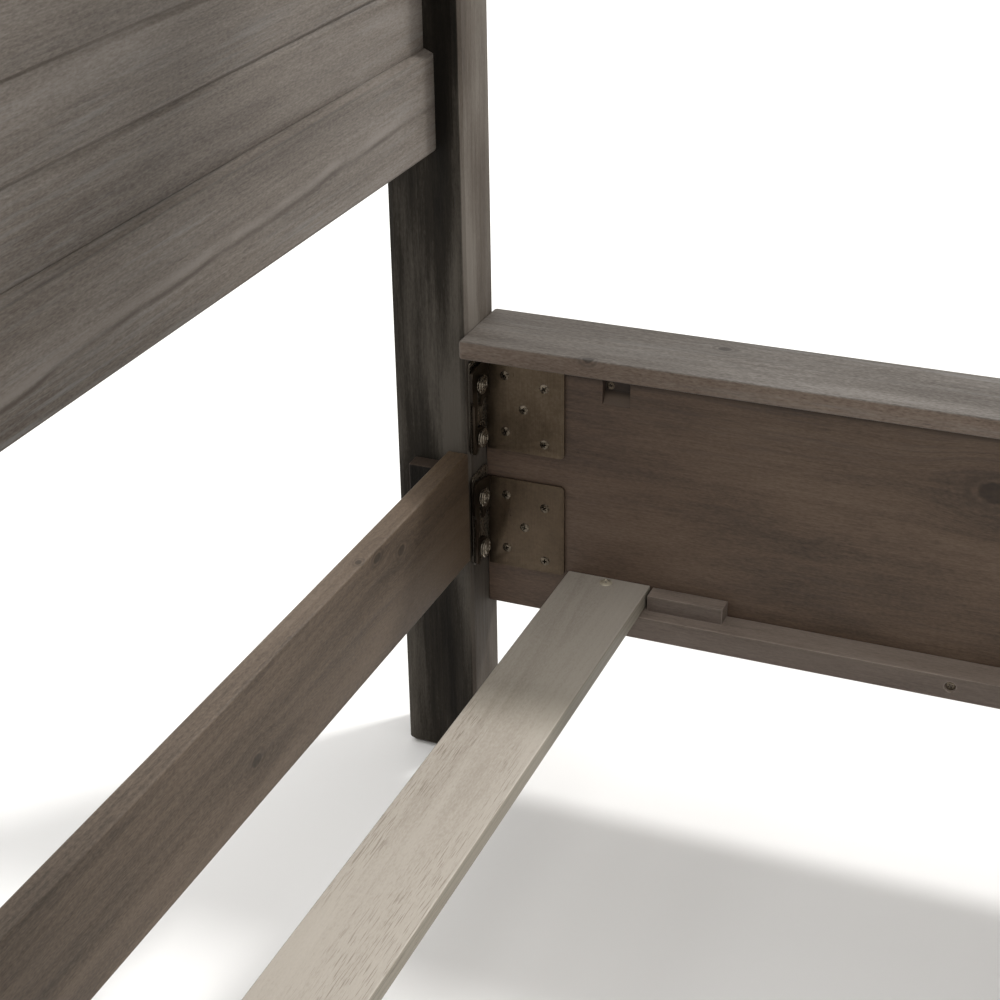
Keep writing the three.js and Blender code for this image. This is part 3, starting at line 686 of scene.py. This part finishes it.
def add_copy(target, mesh, matrix):
    """Adds a moved copy of a mesh to a bmesh."""
    copy = bmesh.new()
    copy.from_mesh(mesh)
    copy.transform(matrix)
    data = bpy.data.meshes.new("copy")
    copy.to_mesh(data)
    copy.free()
    target.from_mesh(data)
    bpy.data.meshes.remove(data)


def new_piece(name, mesh, material, sharp_from):
    """An object from a bmesh, smooth except where its faces meet at more than sharp_from degrees."""
    data = bpy.data.meshes.new(name)
    mesh.to_mesh(data)
    mesh.free()
    data.materials.append(material)
    data.shade_smooth()
    data.set_sharp_from_angle(angle=math.radians(sharp_from))
    piece = bpy.data.objects.new(name, data)
    bpy.context.scene.collection.objects.link(piece)
    return piece


def set_pieces(name, mesh, places, material, body):
    """One piece made of copies of a mesh, each at (position, outward direction, turn in degrees)."""
    joined = bmesh.new()
    for position, outward, turn in places:
        aim = Vector(outward).to_track_quat("Z", "Y").to_matrix().to_4x4()
        spin = Matrix.Rotation(math.radians(turn), 4, "Z")
        add_copy(joined, mesh, Matrix.Translation(position) @ aim @ spin)
    piece = new_piece(name, joined, material, 32)
    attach(piece, body)


# ---------------------------------------------------------------- stud plates
# Each is a rounded plate with two stepped studs, with sizes in millimetres.
STUD_PLATE = {"width": 34.0, "height": 87.0, "thick": 2.0, "corner": 6.0, "ease": 0.35}
STUD_HEIGHTS = (14.0, 64.0)
STUD_INSET = 12.5
STUD_PROFILE = (
    (0.0, 1.9), (4.1, 1.9), (4.1, 5.2), (5.6, 5.4), (6.5, 5.7), (6.7, 6.1), (6.5, 6.5), (5.6, 6.8),
    (5.2, 7.0), (5.2, 7.4), (6.2, 7.5), (7.9, 7.8), (8.4, 8.2), (8.5, 8.6), (8.3, 9.0), (7.3, 9.5),
    (6.4, 9.7), (6.0, 9.3), (5.6, 9.3), (5.3, 10.0), (4.9, 10.4), (3.9, 10.8), (3.1, 10.9), (2.7, 10.2),
    (2.2, 10.1), (1.8, 10.9), (1.2, 11.1), (0.0, 11.1),
)
STUD = lathe("stud", STUD_PROFILE, 48)
STEPS_PER_CORNER = 6


def rounded_plate(width, height, thick, corner, ease):
    """A plate in the XY plane from the origin, z from 0 up to its thickness."""
    mesh = bmesh.new()
    points = []
    for cx, cy, start in ((width - corner, corner, -90), (width - corner, height - corner, 0),
                          (corner, height - corner, 90), (corner, corner, 180)):
        for i in range(STEPS_PER_CORNER + 1):
            turn = math.radians(start + 90 * i / STEPS_PER_CORNER)
            points.append((cx + corner * math.cos(turn), cy + corner * math.sin(turn)))
    centre = Vector((width / 2, height / 2))
    rings = []
    for inset, z in ((ease, 0), (0, ease), (0, thick - ease), (ease, thick)):
        ring = []
        for x, y in points:
            inward = (centre - Vector((x, y))).normalized() * inset
            ring.append(mesh.verts.new((x + inward.x, y + inward.y, z)))
        rings.append(ring)
    mesh.faces.new(rings[0][::-1])
    mesh.faces.new(rings[-1])
    for lower, upper in zip(rings, rings[1:]):
        for i in range(len(points)):
            j = (i + 1) % len(points)
            mesh.faces.new((lower[i], lower[j], upper[j], upper[i]))
    return mesh


def stud_plate(name, node, sign_x, sign_y):
    plate = rounded_plate(**STUD_PLATE)
    for height in STUD_HEIGHTS:
        add_copy(plate, STUD, Matrix.Translation((STUD_INSET, height, 0)))
    # The plate's x runs outward across the post, its y up, and its z away from the post.
    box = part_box(node)
    plate.transform(Matrix((
        (0, 0, -sign_x * MM, face(box, "x", sign_x)),
        (sign_y * MM, 0, 0, face(box, "y", -sign_y)),
        (0, MM, 0, box[0].z),
        (0, 0, 0, 1),
    )))
    bmesh.ops.recalc_face_normals(plate, faces=plate.faces)
    piece = new_piece(name, plate, STUD_BRONZE, 38)
    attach(piece, "bed_frame")
    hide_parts(node)


for end, side in CORNERS:
    for level in LEVELS:
        stud_plate(f"studs_{end}_{side}_{level}", f"stud_plate_{end}_{side}_{level}", *signs(end, side))


# ---------------------------------------------------------------- screws of the lower deck
# The holes in a hook plate, in millimetres from its flange and its foot
PLATE_HOLES = ((17, 18.2), (17, 70.6), (53, 11.4), (53, 63.6), (34, 41.2))
PLATE_FACE = 2.55 * MM


def add_plate_screws(end, side, level):
    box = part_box(f"hook_plate_{end}_{side}_{level}")
    sign_x, sign_y = signs(end, side)
    flange = face(box, "x", sign_x)
    front = face(box, "y", sign_y) - sign_y * PLATE_FACE
    places = []
    for index, (u, v) in enumerate(PLATE_HOLES):
        point = Vector((flange - sign_x * u * MM, front, box[0].z + v * MM))
        places.append((point, (0, -sign_y, 0), 17 + 37 * index))
    set_pieces(f"plate_screws_{end}_{side}_{level}", PLATE_SCREW, places, SCREW_STEEL, "lower_deck")


for end, side in CORNERS:
    for level in LEVELS:
        add_plate_screws(end, side, level)

SLAT_SCREW_INSET = 8.7 * MM
ABOVE_WOOD = 0.1 * MM


def add_slat_screws(deck, body, index):
    low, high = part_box(f"{deck}_slat_{index}")
    middle = (low.x + high.x) / 2
    top = high.z + ABOVE_WOOD
    places = [
        (Vector((middle, high.y - SLAT_SCREW_INSET, top)), (0, 0, 1), 20 * index),
        (Vector((middle, low.y + SLAT_SCREW_INSET, top)), (0, 0, 1), 50 + 20 * index),
    ]
    set_pieces(f"slat_screws_{deck}_{index}", SLAT_SCREW, places, BRASS, body)


for deck, body in DECKS:
    for index in range(1, SLATS_PER_DECK + 1):
        add_slat_screws(deck, body, index)

# Rows of screws sunk in the inner face of a board: where they start and end from the posts, and their turns
LEDGER_ROW = {"inset": 420 * MM, "count": 4, "z": 166.5 * MM, "sunk": 2.9 * MM, "turns": (31, 53)}
POCKET_ROW = {"inset": 111 * MM, "count": 4, "z": 371 * MM, "sunk": POCKET_DEPTH - 0.1 * MM,
              "turns": (20, 41)}
foot_corner_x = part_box("post_foot_wall")[0].x


def row_of_screws(name, node, side, row, screw):
    sign_y = 1 if side == "wall" else -1
    sunk_face = face(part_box(node), "y", -sign_y) + sign_y * row["sunk"]
    first = corner.x + row["inset"]
    last = foot_corner_x - row["inset"]
    start, step = row["turns"]
    places = []
    for index in range(row["count"]):
        x = first + (last - first) * index / (row["count"] - 1)
        places.append((Vector((x, sunk_face, row["z"])), (0, -sign_y, 0), start + step * index))
    set_pieces(name, screw, places, SCREW_STEEL, "lower_deck")


for side in SIDES:
    row_of_screws(f"ledger_screws_{side}", f"lower_slat_ledger_{side}", side, LEDGER_ROW, PLATE_SCREW)
for side in SIDES:
    row_of_screws(f"pocket_screws_{side}", f"lower_side_rail_{side}", side, POCKET_ROW, SMALL_SCREW)


# ---------------------------------------------------------------- bolts of the frame and the ladder
BOLT_HEIGHTS = (1270 * MM, 1380 * MM)
BOLT_SUNK = 1 * MM
NUT_FROM_END = 45 * MM
RAIL_THICK = 24.5 * MM


def add_rail_bolts(end, side):
    """Bolts through a post into an upper side rail, and their nuts in the rail's inner face."""
    sign_x, sign_y = signs(end, side)
    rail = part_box(f"upper_side_rail_{side}")
    outer = face(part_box(f"post_{end}_{side}"), "x", sign_x) - sign_x * BOLT_SUNK
    rail_outer = face(rail, "y", sign_y)
    middle = rail_outer - sign_y * RAIL_THICK / 2
    inner = rail_outer - sign_y * RAIL_THICK
    nut_x = face(rail, "x", sign_x) - sign_x * NUT_FROM_END
    bolts = [(Vector((outer, middle, z)), (sign_x, 0, 0), 11 * i) for i, z in enumerate(BOLT_HEIGHTS)]
    nuts = [(Vector((nut_x, inner, z)), (0, -sign_y, 0), 90) for z in BOLT_HEIGHTS]
    set_pieces(f"rail_bolts_{end}_{side}", SOCKET_BOLT, bolts, SCREW_STEEL, "bed_frame")
    set_pieces(f"barrel_nuts_{end}_{side}", BARREL_NUT, nuts, SCREW_STEEL, "bed_frame")


for end, side in CORNERS:
    add_rail_bolts(end, side)


def add_tread_screws(stile, sign_x):
    outer = face(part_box(f"ladder_stile_{stile}"), "x", sign_x) + sign_x * ABOVE_WOOD
    places = []
    for index in range(1, TREADS + 1):
        low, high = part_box(f"ladder_tread_{index}")
        middle = (low.z + high.z) / 2
        for share in (0.25, 0.75):
            y = low.y + (high.y - low.y) * share
            places.append((Vector((outer, y, middle)), (sign_x, 0, 0), 60 * share + 13 * index))
    set_pieces(f"tread_screws_{stile}", PLATE_SCREW, places, SCREW_STEEL, "ladder")


add_tread_screws("left", -1)
add_tread_screws("right", 1)

GUARD_BOLT_HEIGHTS = (1335 * MM, 1405 * MM)
GUARD_UPRIGHT = 70 * MM
upright_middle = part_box("guard_rail_front")[1].x - GUARD_UPRIGHT / 2
rail_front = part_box("upper_side_rail_front")[0].y
set_pieces("guard_bolts_front", DOME_BOLT,
           [(Vector((upright_middle, rail_front, z)), (0, -1, 0), 0) for z in GUARD_BOLT_HEIGHTS],
           SCREW_STEEL, "bed_frame")


# ---------------------------------------------------------------- floor and light
def make_floor():
    mesh = bmesh.new()
    bmesh.ops.create_grid(mesh, x_segments=8, y_segments=8, size=40.0)
    data = bpy.data.meshes.new("floor")
    mesh.to_mesh(data)
    mesh.free()
    shade = Shade("pale_floor")
    place = shade.new("ShaderNodeTexCoord").outputs["Object"]
    cloud = shade.noise(place, (1.5, 1.5, 1.5), 2.0)
    colour = shade.ramp(cloud, ((0.3, (0.85, 0.85, 0.845)), (0.7, (0.87, 0.87, 0.865))))
    data.materials.append(shade.finish(colour, 0.8, cloud, 0.0001, 0.1, specular=0.1))
    floor = bpy.data.objects.new("floor", data)
    floor.location.z = -0.0004
    bpy.context.scene.collection.objects.link(floor)


def make_light():
    towards = Vector((0.50, 0.50, 0.69)).normalized()
    data = bpy.data.lights.new("key", "SUN")
    data.energy = 2.15
    data.angle = math.radians(9)
    data.color = (1.0, 0.985, 0.965)
    key = bpy.data.objects.new("key", data)
    key.rotation_euler = towards.to_track_quat("Z", "Y").to_euler()
    bpy.context.scene.collection.objects.link(key)
    world = bpy.data.worlds.new("studio")
    bpy.context.scene.world = world
    world.use_nodes = True
    tree = world.node_tree
    tree.nodes.clear()
    direction = tree.nodes.new("ShaderNodeTexCoord").outputs["Generated"]
    dot = tree.nodes.new("ShaderNodeVectorMath")
    dot.operation = "DOT_PRODUCT"
    dot.inputs[1].default_value = (0.20, -0.33, 0.92)
    tree.links.new(direction, dot.inputs[0])
    spread = tree.nodes.new("ShaderNodeMapRange")
    spread.inputs["From Min"].default_value = -0.5
    spread.inputs["From Max"].default_value = 0.9
    spread.inputs["To Min"].default_value = 0.48
    spread.inputs["To Max"].default_value = 1.40
    tree.links.new(dot.outputs["Value"], spread.inputs["Value"])
    background = tree.nodes.new("ShaderNodeBackground")
    background.inputs["Color"].default_value = (1.0, 0.988, 0.97, 1.0)
    tree.links.new(spread.outputs[0], background.inputs["Strength"])
    output = tree.nodes.new("ShaderNodeOutputWorld")
    tree.links.new(background.outputs[0], output.inputs[0])


make_floor()
make_light()
bpy.context.scene.view_settings.view_transform = "Standard"
